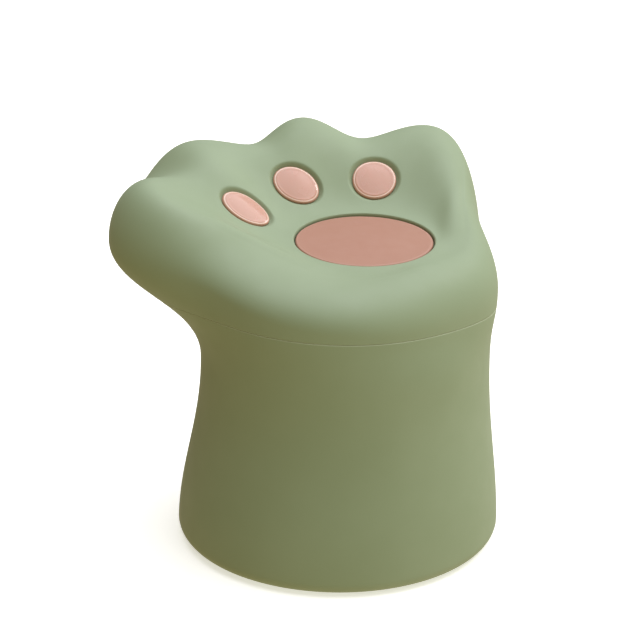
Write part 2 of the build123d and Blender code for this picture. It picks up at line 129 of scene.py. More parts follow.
def mesh_object(name: str, vertices: np.ndarray, faces: list, edge: np.ndarray) -> bpy.types.Object:
    """Makes a smooth-shaded mesh object from whole arrays.

    Args:
        name: the piece's name.
        vertices: (n, 3), in millimetres.
        faces: rows of vertex numbers, counter-clockwise from outside.
        edge: how near each vertex is to a rim, from 0 to 1, kept as the attribute that finishes read to paint
            a highlight along rims.

    Returns:
        The new object, linked to the scene.
    """
    mesh = bpy.data.meshes.new(name)
    mesh.from_pydata((vertices * MM).tolist(), [], faces)
    mesh.update()
    mesh.polygons.foreach_set("use_smooth", np.ones(len(mesh.polygons), bool))
    mesh.set_sharp_from_angle(angle=math.radians(SHARP_ANGLE))
    # The mask of the painted rim highlight.
    mesh.attributes.new(RIM_HIGHLIGHT, "FLOAT", "POINT").data.foreach_set("value", edge.astype(np.float32))
    piece = bpy.data.objects.new(name, mesh)
    bpy.context.scene.collection.objects.link(piece)
    return piece


def stack_faces(rings: int, around: int, closed: bool) -> np.ndarray:
    """Quads between neighbouring rings, all around.

    Args:
        rings: how many rings there are.
        around: how many points each ring has.
        closed: whether the last ring joins the first.

    Returns:
        Rows of four vertex numbers. They face outwards when the rings run up an outside wall.
    """
    low = np.arange(rings if closed else rings - 1)[:, None] * around
    high = (low + around) % (rings * around)
    here = np.arange(around)[None, :]
    there = (here + 1) % around
    return np.stack([low + here, low + there, high + there, high + here], axis=-1).reshape(-1, 4)


def ring_stack(
    name: str, rings: Sequence[np.ndarray], closed: bool = True, highlights: dict[int, float] | None = None
) -> bpy.types.Object:
    """A surface through rings of points: a torus when closed, and else closed by a point at each end.

    Args:
        name: the piece's name.
        rings: arrays of shape (n, 3), in millimetres. If not closed, the first and last become poles.
        closed: whether the last ring joins the first.
        highlights: how near a ring is to a rim, from 0 to 1, by the ring's number. The rest are 0.

    Returns:
        The new object.
    """
    grid = np.stack(rings)
    count, around = grid.shape[:2]
    # How much painted rim highlight each ring takes.
    edge = np.zeros((count, around))
    for number, share in (highlights or {}).items():
        edge[number] = share
    if closed:
        faces = stack_faces(count, around, True).tolist()
        return mesh_object(name, grid.reshape(-1, 3), faces, edge.ravel())
    vertices = np.concatenate([grid[1:-1].reshape(-1, 3), grid[:1].mean(axis=1), grid[-1:].mean(axis=1)])
    here = np.arange(around)
    there = (here + 1) % around
    last = (count - 3) * around
    poles = len(vertices) - 2
    first_fan = np.stack([there, here, np.full(around, poles)], axis=-1)
    last_fan = np.stack([last + here, last + there, np.full(around, poles + 1)], axis=-1)
    faces = stack_faces(count - 2, around, False).tolist() + first_fan.tolist() + last_fan.tolist()
    return mesh_object(name, vertices, faces, np.concatenate([edge[1:-1].ravel(), np.zeros(2)]))


def corner(start: np.ndarray, tip: np.ndarray, end: np.ndarray, count: int) -> list[np.ndarray]:
    """Rings that round a corner: quadratic Bezier curves a (1-t)^2 + 2 b t (1-t) + c t^2.

    Args:
        start: the ring before the corner.
        tip: the sharp corner itself.
        end: the ring after the corner.
        count: how many rings to make, the first and last included.

    Returns:
        The rings, in order.
    """
    return [start * (1 - t) ** 2 + 2 * tip * t * (1 - t) + end * t**2 for t in np.linspace(0, 1, count)]


def towards(start: np.ndarray, end: np.ndarray, distance: float) -> np.ndarray:
    """The points this far from start on the way to end."""
    return start + unit(end - start) * distance


def all_around(count: int) -> np.ndarray:
    """This many directions, evenly spaced, in radians."""
    return np.linspace(0, TURN, count, endpoint=False)


# --- The skin ---
@dataclass(frozen=True)
class Swell:
    """A smooth swelling of something in one direction, given in degrees like its half width."""

    direction: float
    amount: float
    half_width: float

    def at(self, angle: np.ndarray) -> np.ndarray:
        """amount * exp(-(off / half width)^2), with off the angle from the direction."""
        off = (angle - math.radians(self.direction) + math.pi) % TURN - math.pi
        return self.amount * np.exp(-((off / math.radians(self.half_width)) ** 2))


@dataclass(frozen=True)
class Toe:
    """One toe, or the heel: how far the head reaches out, the crest rises and the belly drops there."""

    direction: float
    reach: float
    lift: float
    drop: float
    half_width: float

    def changes(self, angle: np.ndarray) -> np.ndarray:
        """The reach, lift and drop in these directions, as three rows."""
        share = Swell(self.direction, 1.0, self.half_width).at(angle)
        return np.outer((self.reach, self.lift, self.drop), share)


@dataclass(frozen=True)
class Skin:
    """The outer surface: foot (station 0), neck (1), belly (2), crest (3), palm (4) and palm centre (5)."""

    foot_z: float = 0.5
    foot_r: float = 51.6
    foot_x: float = -1.5
    neck_r: float = 45.5
    neck_x: float = 0.5
    neck_z: float = 60.0
    belly_r: float = 46.0
    belly_lean: tuple[float, float] = (-2.5, 0.5)
    belly_z: float = 92.0
    belly_rise: tuple[float, float] = (-7.0, 9.0)
    crest_in: float = 14.0
    crest_z: float = 104.5
    crest_rise: tuple[float, float] = (-1.0, 10.5)
    palm: tuple[float, float, float] = (6.0, -4.6, 98.6)
    palm_long: float = 22.1
    palm_wide: float = 16.4
    palm_turn: float = -2.0
    palm_slope: float = 0.2
    toes: tuple[Toe, ...] = (
        Toe(181.0, 24.0, 9.0, 1.5, 23.0),
        Toe(148.0, 18.5, 7.5, 0.0, 15.0),
        Toe(109.0, 11.0, 9.5, 0.0, 20.0),
        Toe(57.0, 15.0, 9.0, 1.5, 21.0),
        Toe(-12.0, 4.5, -3.5, 1.0, 25.0),
        Toe(164.0, 3.0, -3.0, 0.0, 9.0),
        Toe(-130.0, 0.0, 0.5, 2.5, 40.0),
        Toe(35.0, 3.0, 0.0, 0.0, 15.0),
    )
    crest_out: tuple[Swell, ...] = (Swell(33.0, 7.0, 45.0), Swell(-120.0, -5.0, 50.0))
    crest_slopes: tuple[Swell, ...] = (Swell(181.0, 0.3, 20.0), Swell(163.0, -0.55, 10.0))
    leaving: tuple[float, ...] = (0.35, 0.54, 0.55, 0.45)  # how far each band's first handle reaches
    arriving: tuple[float, ...] = (0.4, 0.38, 0.55, 0.35)  # and its second

    def palm_ring(self, angle: np.ndarray, long: float, wide: float) -> np.ndarray:
        """An oval in the palm's plane, centred on the main pad.

        Args:
            angle: around the oval, in radians.
            long: its half length.
            wide: its half width, seen from above.

        Returns:
            An array of shape (n, 3).
        """
        turn = math.radians(self.palm_turn)
        u, v = long * np.cos(angle), wide * np.sin(angle)
        x = u * math.cos(turn) - v * math.sin(turn)
        y = u * math.sin(turn) + v * math.cos(turn)
        px, py, pz = self.palm
        return np.stack([px + x, py + y, pz + self.palm_slope * y], axis=-1)

    def palm_normal(self) -> np.ndarray:
        """The direction square to the palm's plane."""
        return unit(np.array([0.0, -self.palm_slope, 1.0]))

    def key_rings(self, angle: np.ndarray) -> tuple[np.ndarray, ...]:
        """The rings that shape the skin: foot, neck, belly, crest and palm.

        Args:
            angle: directions in radians.

        Returns:
            Five arrays of shape (n, 3).
        """
        c, s = np.cos(angle), np.sin(angle)
        toes_reach, lift, drop = sum(toe.changes(angle) for toe in self.toes)
        reach = self.belly_r + self.belly_lean[0] * c + self.belly_lean[1] * s + toes_reach
        belly_z = self.belly_z + self.belly_rise[0] * c + self.belly_rise[1] * s - drop
        crest_z = self.crest_z + self.crest_rise[0] * c + self.crest_rise[1] * s + lift
        crest_in = self.crest_in - sum(swell.at(angle) for swell in self.crest_out)
        return (
            ring(self.foot_r, self.foot_z, angle, self.foot_x),
            ring(self.neck_r, self.neck_z, angle, self.neck_x),
            ring(reach, belly_z, angle),
            ring(reach - crest_in, crest_z, angle),
            self.palm_ring(angle, self.palm_long, self.palm_wide),
        )

    def point(self, angle: np.ndarray, station: np.ndarray) -> np.ndarray:
        """Points of the skin: each band between two key rings is a cubic Bezier curve in every direction.

        Args:
            angle: directions in radians, shape (n,).
            station: stations from 0 to 5, shape (m, n) or (n,).

        Returns:
            An array of the stations' shape and 3.
        """
        foot, neck, belly, crest, palm = rings = self.key_rings(angle)
        body = (neck - foot) * UP
        flare = (belly - neck) * UP
        rim_up = (crest - belly) * UP
        rim_in = (crest - belly) * LEVEL
        palm_in = (palm - crest) * LEVEL
        slope = sum(swell.at(angle) for swell in self.crest_slopes)[:, None]
        rise = UP * slope * np.linalg.norm(rim_in, axis=-1, keepdims=True)
        fall = UP * slope * np.linalg.norm(palm_in, axis=-1, keepdims=True)
        first = (body, flare, rim_up, palm_in - fall)
        last = (body, flare, rim_in - rise, palm_in + UP * self.palm_slope * palm_in[..., 1:2])
        spans = [
            (start, start + way * leave, end - way_in * arrive, end)
            for start, end, way, way_in, leave, arrive in zip(
                rings, rings[1:], first, last, self.leaving, self.arriving
            )
        ]
        middle = np.broadcast_to(np.array(self.palm), palm.shape)
        spans.append((palm, palm + (middle - palm) / 3, palm + (middle - palm) * 2 / 3, middle))
        band = np.clip(np.floor(station), 0, len(spans) - 1)
        found = np.zeros(np.shape(station) + (3,))
        for number, span in enumerate(spans):
            t = np.clip(station - number, 0, 1)[..., None]
            found = np.where((band == number)[..., None], bezier(span, t), found)
        return found

    def normal(self, angle: np.ndarray, station: np.ndarray) -> np.ndarray:
        """The outward direction: the cross product of the skin's two ways, each by a small difference."""
        near = 0.004
        inside = np.clip(station, near, PALM - near)
        up = self.point(angle, inside + near) - self.point(angle, inside - near)
        around = self.point(angle + near, inside) - self.point(angle - near, inside)
        return unit(np.cross(around, up))

    def wall(self, angle: np.ndarray, station: np.ndarray | float, inset: float) -> np.ndarray:
        """Points of the skin moved inwards: point - inset * normal."""
        station = np.broadcast_to(station, angle.shape)
        return self.point(angle, station) - inset * self.normal(angle, station)

    def length_at(self, angle: np.ndarray, station: np.ndarray, step: float) -> np.ndarray:
        """How long one station is there, in millimetres, from a step up or down the skin."""
        ends = self.point(angle, station + step) - self.point(angle, station)
        return np.linalg.norm(ends, axis=-1) / abs(step)

    def station_at(
        self, angle: np.ndarray, height: float, tilt: float = 0.0, inset: float = 0.0
    ) -> np.ndarray:
        """The station at which a wall crosses the plane z = height - tilt x, found by halving.

        Args:
            angle: directions in radians.
            height: of the plane on the axis, in millimetres.
            tilt: how much the plane falls for each millimetre along X.
            inset: of the wall, from the skin.

        Returns:
            Stations of shape (n,), between the foot and the belly.
        """
        low, high = np.zeros_like(angle), np.full_like(angle, BELLY)
        for _ in range(HALVINGS):
            middle = (low + high) / 2
            points = self.wall(angle, middle, inset)
            below = points[:, 2] + tilt * points[:, 0] < height
            low, high = np.where(below, middle, low), np.where(below, high, middle)
        return (low + high) / 2


SKIN = Skin()


@dataclass(frozen=True)
class Seam:
    """The parting plane z = height - tilt x between casing and lid, and the play between their rims."""

    height: float = 79.4
    tilt: float = 0.025
    gap: float = 0.06
    casing_wall: float = 2.2
    lid_wall: float = 3.8
    rounding: float = 0.3
    step: float = 0.01  # of a station, to measure along the skin


SEAM = Seam()


class Slot(Enum):
    """The record's material slots."""

    SAGE = "sage_shell"
    PINK = "pink_pad"
    ROSE = "rose_pad"
    WHITE = "white_moulding"
    CLEAR = "clear_cup"
    BRISTLE = "pink_silicone"
    GREY = "grey_silicone"
    STEEL = "screw_steel"


# --- Shader graphs ---
class Wire:
    """The output of a shader node, with arithmetic that lays Math nodes."""

    def __init__(self, board: "Board", socket: bpy.types.NodeSocket) -> None:
        """Keeps the board and the socket."""
        self.board, self.socket = board, socket

    def _join(self, operation: str, left: "Wire | float", right: "Wire | float") -> "Wire":
        """One Math node with these two inputs."""
        return self.board.lay("ShaderNodeMath", {"operation": operation}, {0: left, 1: right})

    def __add__(self, other: "Wire | float") -> "Wire":
        """self + other."""
        return self._join("ADD", self, other)

    __radd__ = __add__

    def __sub__(self, other: "Wire | float") -> "Wire":
        """self - other."""
        return self._join("SUBTRACT", self, other)

    def __rsub__(self, other: float) -> "Wire":
        """other - self."""
        return self._join("SUBTRACT", other, self)

    def __mul__(self, other: "Wire | float") -> "Wire":
        """self * other."""
        return self._join("MULTIPLY", self, other)

    __rmul__ = __mul__

    def clipped(self) -> "Wire":
        """self, kept between 0 and 1."""
        return self.board.lay("ShaderNodeClamp", {}, {"Value": self})


Input = Wire | float | tuple[float, ...]


class Board:
    """The node tree of one material."""

    def __init__(self, name: str) -> None:
        """Makes the material and its shader.

        Args:
            name: of the material.
        """
        self.material = bpy.data.materials.new(name)
        self.material.use_nodes = True
        self.tree = self.material.node_tree
        self.shader = next(n for n in self.tree.nodes if n.type == "BSDF_PRINCIPLED")

    @classmethod
    def of_tree(cls, tree: bpy.types.NodeTree) -> "Board":
        """A board on a tree that is there already."""
        board = cls.__new__(cls)
        board.tree = tree
        return board

    def lay(
        self, kind: str, settings: dict[str, object], inputs: dict[str | int, Input], out: str | int = 0
    ) -> Wire:
        """Adds a node. Its settings go first, because they choose which sockets it has.

        Args:
            kind: the node's type.
            settings: values of the node itself.
            inputs: wires or constants for its sockets.
            out: the socket to return.

        Returns:
            The wire of that output.
        """
        node = self.tree.nodes.new(kind)
        for key, value in settings.items():
            setattr(node, key, value)
        for key, value in inputs.items():
            if isinstance(value, Wire):
                self.tree.links.new(value.socket, node.inputs[key])
            else:
                node.inputs[key].default_value = value
        return Wire(self, node.outputs[out])

    def place(self) -> Wire:
        """Object coordinates, which are the shared frame in metres."""
        return self.lay("ShaderNodeTexCoord", {}, {}, "Object")

    def attribute(self, name: str) -> Wire:
        """A number kept on the mesh."""
        return self.lay("ShaderNodeAttribute", {"attribute_name": name}, {}, "Fac")

    def noise(self, size: float, detail: float = 2.0, stretch: tuple[float, ...] = (1, 1, 1)) -> Wire:
        """Soft noise from 0 to 1.

        Args:
            size: of its spots, in millimetres.
            detail: how many finer layers are on top.
            stretch: squeezes the spots along an axis when it is more than 1.

        Returns:
            The noise.
        """
        inputs = {"Vector": self.place(), "Scale": stretch}
        at = self.lay("ShaderNodeMapping", {"vector_type": "POINT"}, inputs)
        return self.lay("ShaderNodeTexNoise", {}, {"Vector": at, "Scale": 1 / (size * MM), "Detail": detail})

    def blend(self, first: Input, second: Input, share: Wire) -> Wire:
        """first * (1 - share) + second * share, on colours.

        Args:
            first: the colour where share is 0.
            second: the colour where share is 1.
            share: from 0 to 1.

        Returns:
            The mixed colour.
        """
        settings = {"data_type": "RGBA", "blend_type": "MIX"}
        return self.lay("ShaderNodeMix", settings, {0: share, 6: first, 7: second}, 2)

    def bump(self, height: Wire, depth: float) -> Wire:
        """A bumped normal from a height of 0 to 1 that stands for this depth in millimetres."""
        return self.lay("ShaderNodeBump", {}, {"Height": height, "Distance": depth * MM, "Strength": 1.0})

    def drive(self, socket: str, wire: Wire) -> None:
        """Links a wire to a socket of the shader."""
        self.tree.links.new(wire.socket, self.shader.inputs[socket])


def tint(red: int, green: int, blue: int) -> tuple[float, float, float, float]:
    """A linear colour from display values of 0 to 255."""
    linear = [((v / 255 + 0.055) / 1.055) ** 2.4 for v in (red, green, blue)]
    return (*linear, 1.0)


# --- Finishes ---
@dataclass(frozen=True)
class Finish:
    """A moulded surface: two close colours in slow clouds, a fine grain, and a paler or darker colour painted
    along rims as a highlight.
    """

    slot: Slot
    colour: tuple[float, float, float, float]
    cloud: tuple[float, float, float, float]
    # The colour of the painted highlight along rims; Silicone also gives it to its dust specks.
    rim: tuple[float, float, float, float]
    cloud_size: float = 28.0
    grain_size: float = 0.5
    grain_depth: float = 0.012
    roughness: float = 0.5
    spread: float = 0.08
    grain_spread: float = 0.06
    cloud_low: float = 0.3
    cloud_gain: float = 2.5
    constants: dict[str, float] = field(default_factory=dict)

    def height(self, board: Board) -> Wire:
        """The relief of the grain, from 0 to 1."""
        return board.noise(self.grain_size)

    def shade(self, board: Board) -> Wire:
        """The colour over the surface: clouds, then the painted rim highlight where the edge attribute says
        so.
        """
        clouds = ((board.noise(self.cloud_size, 3.0) - self.cloud_low) * self.cloud_gain).clipped()
        body = board.blend(self.colour, self.cloud, clouds)
        # Painted highlight: the rim colour, blended in where the mesh says a rim is near.
        return board.blend(body, self.rim, board.attribute(RIM_HIGHLIGHT).clipped())

    def build(self) -> bpy.types.Material:
        """Makes the material.

        Returns:
            The new material.
        """
        board = Board(self.slot.value)
        height = self.height(board)
        board.drive("Base Color", self.shade(board))
        wear = (board.noise(self.cloud_size / 4, 4.0) - 0.5) * 2 * self.spread
        board.drive("Roughness", (self.roughness + wear + (height - 0.5) * self.grain_spread).clipped())
        board.drive("Normal", board.bump(height, self.grain_depth))
        for name, value in self.constants.items():
            board.shader.inputs[name].default_value = value
        return board.material


@dataclass(frozen=True)
class SoftPaint(Finish):
    """Matte soft-touch paint: a fine even grain over a very faint waviness of the moulding."""

    wave_size: float = 9.0
    wave_share: float = 1.6

    def height(self, board: Board) -> Wire:
        """Grain plus broad low waves."""
        return board.noise(self.grain_size) + board.noise(self.wave_size, 1.0) * self.wave_share


@dataclass(frozen=True)
class CastPad(Finish):
    """A glossy cast insert: almost no grain, and a slow ripple that bends its reflections a little."""

    ripple_size: float = 3.5
    ripple_share: float = 3.0

    def height(self, board: Board) -> Wire:
        """Grain plus ripple."""
        return board.noise(self.grain_size) + board.noise(self.ripple_size, 1.0) * self.ripple_share


@dataclass(frozen=True)
class Silicone(Finish):
    """Rubber with a satin skin and fine specks of dust."""

    speck_size: float = 0.9
    speck_low: float = 0.72
    speck_gain: float = 9.0
    speck_share: float = 0.5

    def shade(self, board: Board) -> Wire:
        """Clouds, rim and pale specks."""
        specks = ((board.noise(self.speck_size, 0.0) - self.speck_low) * self.speck_gain).clipped()
        # The dust specks take the rim colour, which is also this finish's painted rim highlight.
        return board.blend(super().shade(board), self.rim, specks * self.speck_share)


@dataclass(frozen=True)
class PlatedSteel(Finish):
    """Bright plated steel with fine lines along its height."""

    line_size: float = 0.25
    line_stretch: tuple[float, float, float] = (1.0, 1.0, 0.08)

    def height(self, board: Board) -> Wire:
        """Noise drawn out into lines."""
        return board.noise(self.line_size, 2.0, self.line_stretch)


class Palette:
    """The finishes of the whole object, each made once."""

    def __init__(self) -> None:
        """Makes every material."""
        # Each finish gives its own colour, its cloud colour, and the colour of its painted rim highlight.
        finishes = [
            SoftPaint(
                Slot.SAGE, tint(148, 164, 136), tint(144, 160, 131), tint(190, 200, 176),
                roughness=0.52,
            ),
            CastPad(
                Slot.PINK, tint(200, 149, 131), tint(196, 144, 126), tint(240, 212, 198),
                roughness=0.16, spread=0.04, grain_depth=0.004,
                constants={
                    "Coat Weight": 0.35, "Coat Roughness": 0.12,
                    "Subsurface Weight": 0.06, "Subsurface Scale": 0.002,
                },
            ),
            CastPad(
                Slot.ROSE, tint(175, 127, 108), tint(171, 122, 103), tint(185, 140, 123),
                roughness=0.4, spread=0.06, grain_depth=0.005,
                constants={"Coat Weight": 0.1, "Coat Roughness": 0.3},
            ),
            Finish(
                Slot.WHITE, tint(232, 230, 224), tint(226, 224, 216), tint(240, 238, 232),
                roughness=0.36,
            ),
            Finish(
                Slot.CLEAR, tint(226, 234, 232), tint(221, 230, 228), tint(236, 242, 240),
                roughness=0.24, spread=0.03, grain_depth=0.003,
                constants={"Alpha": 0.5, "Coat Weight": 0.2},
            ),
            Silicone(
                Slot.BRISTLE, tint(226, 172, 166), tint(220, 164, 158), tint(238, 196, 190),
                roughness=0.48,
                constants={"Subsurface Weight": 0.15, "Subsurface Scale": 0.002},
            ),
            Silicone(
                Slot.GREY, tint(128, 130, 126), tint(118, 120, 117), tint(158, 158, 152),
                roughness=0.6,
            ),
            PlatedSteel(
                Slot.STEEL, tint(188, 190, 192), tint(178, 180, 184), tint(206, 206, 208),
                roughness=0.28,
                constants={"Metallic": 1.0},
            ),
        ]
        self.materials = {finish.slot: finish.build() for finish in finishes}

    def dress(self, piece: bpy.types.Object, slot: Slot) -> None:
        """Gives a piece the only material it has."""
        piece.data.materials.clear()
        piece.data.materials.append(self.materials[slot])


# --- Pads and their places ---
FACTORS = 15  # of a quartic in two variables


@dataclass(frozen=True)
class PadPlace:
    """A plane that touches the skin, with an oval on it: its centre, three directions and half lengths."""

    centre: np.ndarray
    length: np.ndarray
    outward: np.ndarray
    half_length: float
    half_width: float

    @classmethod
    def on_toe(
        cls, direction: float, station: float, half_length: float, half_width: float, turn: float
    ) -> "PadPlace":
        """The place of a toe pad.

        Args:
            direction: around the axis, in degrees.
            station: along the skin.
            half_length: of the oval, in millimetres.
            half_width: of the oval, in millimetres.
            turn: of its length, from the way around the head, in degrees.

        Returns:
            The place.
        """
        beside = 0.5
        angle = np.radians([direction, direction - beside, direction + beside])
        middle, before, after = SKIN.point(angle, np.full(3, station))
        outward = SKIN.normal(angle[:1], np.full(1, station))[0]
        around = unit(after - before)
        side = np.cross(outward, around)
        length = around * math.cos(math.radians(turn)) + side * math.sin(math.radians(turn))
        return cls(middle, unit(length - outward * (length @ outward)), outward, half_length, half_width)

    @classmethod
    def on_palm(cls, half_length: float, half_width: float) -> "PadPlace":
        """The place of the main pad, on the flat palm."""
        turn = math.radians(SKIN.palm_turn)
        flat = np.array([math.cos(turn), math.sin(turn), SKIN.palm_slope * math.sin(turn)])
        return cls(np.array(SKIN.palm), unit(flat), SKIN.palm_normal(), half_length, half_width)

    def local(self, points: np.ndarray) -> tuple[np.ndarray, np.ndarray, np.ndarray]:
        """How far points lie along the length, across it, and above the plane."""
        off = points - self.centre
        return off @ self.length, off @ np.cross(self.outward, self.length), off @ self.outward

    def spot(self, u: np.ndarray, v: np.ndarray, w: np.ndarray) -> np.ndarray:
        """The points u along the length, v across it and w above the plane."""
        across = np.cross(self.outward, self.length)
        return self.centre + u[..., None] * self.length + v[..., None] * across + w[..., None] * self.outward

    def outside(self, u: np.ndarray, v: np.ndarray, gap: float) -> np.ndarray:
        """How far points lie outside an oval: (1 - 1 / e) times their distance from its centre.

        Args:
            u: along the length.
            v: across it.
            gap: how much wider than the pad the oval is.

        Returns:
            The distances, negative inside. e^2 is (u / a)^2 + (v / b)^2, for the oval's half lengths a and b.
        """
        e = np.sqrt((u / (self.half_length + gap)) ** 2 + (v / (self.half_width + gap)) ** 2) + TINY
        return (1 - 1 / e) * np.hypot(u, v)

    def cover(self) -> np.ndarray:
        """The skin's height above the plane near the oval, as the 15 factors of a quartic in u and v.

        Returns:
            The factors, found by least squares on a grid of the skin's palm side.
        """
        margin, depth, short_of_palm = 2.5, 6.0, 0.02
        around, along = np.meshgrid(all_around(240), np.linspace(CREST, PALM - short_of_palm, 50))
        points = np.stack([SKIN.point(row, stations) for row, stations in zip(around, along)])
        u, v, w = (part.ravel() for part in self.local(points))
        near = (self.outside(u, v, 0.0) < margin) & (np.abs(w) < depth)
        found, *_ = np.linalg.lstsq(self.powers(u[near], v[near]), w[near], rcond=None)
        return found

    @staticmethod
    def powers(u: np.ndarray, v: np.ndarray) -> np.ndarray:
        """The products u^i v^j with i + j up to 4."""
        return np.stack([u**i * v**j for i in range(5) for j in range(5 - i)], axis=-1)


@dataclass(frozen=True)
class Pad:
    """A domed insert: a flat underside, an upright side, a rounded edge, a faint bead and a crowned top."""

    name: str
    place: PadPlace
    slot: Slot
    follows_skin: bool
    sink: float = 0.45
    crown: float = 0.6
    rounding: float = 0.7
    bead: float = 0.07
    bead_in: float = 0.5
    bead_half: float = 0.35
    depth: float = 2.3
    # How much painted highlight the top of the rounded edge takes: a pale line round the pad.
    highlight_share: float = 0.7
    around: int = 128

    def oval(self, angle: np.ndarray, inset: float, share: float) -> tuple[np.ndarray, np.ndarray]:
        """How far along and across an oval's points lie: the pad's own, less the inset, times the share."""
        long, wide = self.place.half_length - inset, self.place.half_width - inset
        return long * share * np.cos(angle), wide * share * np.sin(angle)

    def dome(self, share: float) -> float:
        """The top's height above its edge: crown (1 - e^2) + bead exp(-((d - bead in) / bead half)^2).

        Args:
            share: e, the share of the way out from the middle.

        Returns:
            The height. d is (1 - e) times the mean half length, about how far it is from the edge.
        """
        off_edge = (1 - share) * (self.place.half_length + self.place.half_width) / 2
        beads = ((off_edge - self.bead_in) / self.bead_half) ** 2
        return self.crown * (1 - share**2) + self.bead * math.exp(-beads)

    def build(self, palette: Palette) -> bpy.types.Object:
        """Makes the insert and lets it ride on the lid. Its top is at skin - sink + dome.

        Args:
            palette: the finishes.

        Returns:
            The piece.
        """
        angle = all_around(self.around)
        factors = self.place.cover() if self.follows_skin else np.zeros(FACTORS)

        def level(inset: float, share: float, lift: float) -> np.ndarray:
            """The oval's points, this far above the skin."""
            u, v = self.oval(angle, inset, share)
            return self.place.spot(u, v, PadPlace.powers(u, v) @ factors + lift)

        underside = [self.oval(angle, 0, t) for t in (0.0, 0.5, 1.0)]
        rings = [self.place.spot(u, v, np.full_like(u, -self.depth)) for u, v in underside]
        foot = -self.sink - self.rounding
        rings.append(level(0, 1.0, foot))
        for t in np.radians(np.linspace(12, 90, 8)):
            rings.append(level(self.rounding * (1 - math.cos(t)), 1.0, foot + self.rounding * math.sin(t)))
        rim = len(rings) - 3
        for share in np.concatenate([np.linspace(1, 0.7, 14)[1:], np.linspace(0.7, 0, 14)[1:]]):
            rings.append(level(self.rounding, share, self.dome(share) - self.sink))
        # The last three rings of the rounded edge take the painted highlight.
        highlights = {rim + k: self.highlight_share for k in range(3)}
        piece = ring_stack(self.name, rings, closed=False, highlights=highlights)
        palette.dress(piece, self.slot)
        return finished(piece, "lid", self.slot, self.name)


def finished(piece: bpy.types.Object, body: str, slot: Slot, *nodes: str) -> bpy.types.Object:
    """Lets a piece ride on a body, hides the model's nodes it stands for, and reports it.

    Args:
        piece: the new piece.
        body: the body that carries it.
        slot: its material slot; not used.
        nodes: the nodes it stands for.

    Returns:
        The piece.
    """
    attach(piece, body)
    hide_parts(*nodes)
    LOG.info("%s on %s: %d faces", piece.name, body, len(piece.data.polygons))
    return piece


# --- Casing ---
@dataclass(frozen=True)
class Casing:
    """The tapered body: skin, rim at the seam, ledge for the cup, floor and stepped opening."""

    foot_round: float = 4.0
    floor_top: float = 3.0
    opening_r: float = 41.5
    step_r: float = 43.2
    step_z: float = 2.0
    ledge_z: float = 66.0
    ledge_thick: float = 2.5
    ledge_r: float = 40.0
    rim_back: float = 0.02  # of a station, below the inner edge of the rim
    # How much painted highlight the first rings round the seam's rim take: it paints the seam as a pale line.
    rim_highlights: tuple[float, ...] = (0.35, 0.8, 1.0, 0.8, 0.3)
    foot_rings: int = 10
    outer_rings: int = 64
    inner_rings: int = 10
    around: int = 256

    def outside(self, angle: np.ndarray) -> list[np.ndarray]:
        """Rings from the foot's round corner up the skin, to just below the rim.

        Args:
            angle: directions in radians.

        Returns:
            The rings, from the bottom up.
        """
        start = SKIN.station_at(angle, SKIN.foot_z + self.foot_round)
        top = SKIN.station_at(angle, SEAM.height, SEAM.tilt)
        below = top - SEAM.rounding / SKIN.length_at(angle, top, -SEAM.step)
        foot = SKIN.point(angle, start)
        inward = ring(-1.0, 0.0, angle)
        r = self.foot_round
        rings = []
        for t in np.radians(np.linspace(90, 8, self.foot_rings)):
            rings.append(foot + inward * r * (1 - math.cos(t)) - UP * r * math.sin(t))
        shares = np.linspace(0, 1, self.outer_rings)
        rings += [SKIN.point(angle, start + (below - start) * t) for t in shares]
        return rings

    def inside(self, angle: np.ndarray, inner_top: np.ndarray) -> list[np.ndarray]:
        """Rings down the inner wall, round the ledge, and over the floor to its stepped opening.

        Args:
            angle: directions in radians.
            inner_top: the stations at which the inner wall meets the seam.

        Returns:
            The rings, from the rim down.
        """
        wall = SEAM.casing_wall
        ledge_low_z = self.ledge_z - self.ledge_thick
        start = inner_top - self.rim_back
        ledge_top = SKIN.station_at(angle, self.ledge_z, 0.0, wall)
        ledge_low = SKIN.station_at(angle, ledge_low_z, 0.0, wall)
        floor = SKIN.station_at(angle, self.floor_top, 0.0, wall)
        shares = np.linspace(0.1, 1, self.inner_rings)
        rings = [SKIN.wall(angle, start + (ledge_top - start) * t, wall) for t in shares]
        rings += [ring(self.ledge_r, self.ledge_z, angle), ring(self.ledge_r, ledge_low_z, angle)]
        shares = np.linspace(0, 1, self.inner_rings)
        rings += [SKIN.wall(angle, ledge_low + (floor - ledge_low) * t, wall) for t in shares]
        rings += [ring(self.opening_r, self.floor_top, angle), ring(self.opening_r, self.step_z, angle)]
        rings += [ring(self.step_r, self.step_z, angle), ring(self.step_r, SKIN.foot_z, angle)]
        return rings

    def build(self, palette: Palette) -> bpy.types.Object:
        """Makes the casing as one closed profile carried around the axis, and lets it ride on the root.

        Args:
            palette: the finishes.

        Returns:
            The piece.
        """
        angle = all_around(self.around)
        rings = self.outside(angle)
        rim = len(rings)
        inner_top = SKIN.station_at(angle, SEAM.height, SEAM.tilt, SEAM.casing_wall)
        inner_tip = SKIN.wall(angle, inner_top, SEAM.casing_wall)
        tip = SKIN.point(angle, SKIN.station_at(angle, SEAM.height, SEAM.tilt))
        rings += corner(rings[-1], tip, towards(tip, inner_tip, SEAM.rounding), 6)[1:]
        inner_start = SKIN.wall(angle, inner_top - self.rim_back, SEAM.casing_wall)
        rings += corner(towards(inner_tip, tip, SEAM.rounding), inner_tip, inner_start, 4)
        rings += self.inside(angle, inner_top)
        # The casing's rim rings at the seam take the painted highlight.
        piece = ring_stack("casing_skin", rings, highlights={rim + k: e for k, e in enumerate(self.rim_highlights)})
        palette.dress(piece, Slot.SAGE)
        return finished(piece, "root", Slot.SAGE, "casing")


